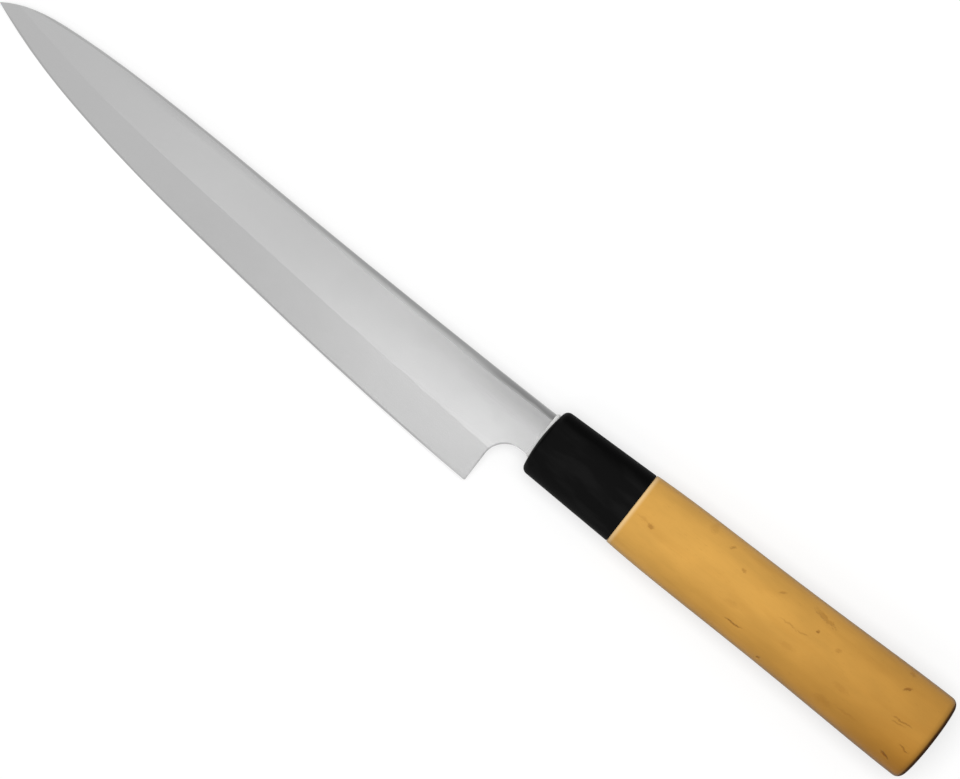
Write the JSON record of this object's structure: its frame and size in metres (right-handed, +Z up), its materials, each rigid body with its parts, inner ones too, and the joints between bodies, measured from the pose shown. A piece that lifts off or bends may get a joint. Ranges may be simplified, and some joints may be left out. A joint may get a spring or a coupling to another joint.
{
  "type": "yanagiba knife",
  "caption": "Single-bevelled slicing knife for raw fish: long pointed blade, moulded ferrule and oval wooden handle, lying on its side.",
  "frame": {"origin": "centre of the bounding box in plan, on the surface the knife lies on", "axes": "+X from the point towards the butt, +Y towards the spine, +Z up, with the bevelled face up"},
  "size_m": [0.329, 0.036, 0.0256],
  "materials": {
    "blade_steel": "satin stainless steel, fine lines along the blade",
    "ferrule_plastic": "satin black moulded plastic",
    "handle_wood": "clear-lacquered yellow wood with fine grain and small brown pits",
    "resin": "cast resin, hidden",
    "seal_resin": "pale wiped resin bead"
  },
  "bodies": {
    "root": {"blade": "blade_steel", "ferrule": "ferrule_plastic", "wooden_handle": "handle_wood", "tang_resin": "resin", "mouth_seal": "seal_resin"}
  },
  "joints": []
}
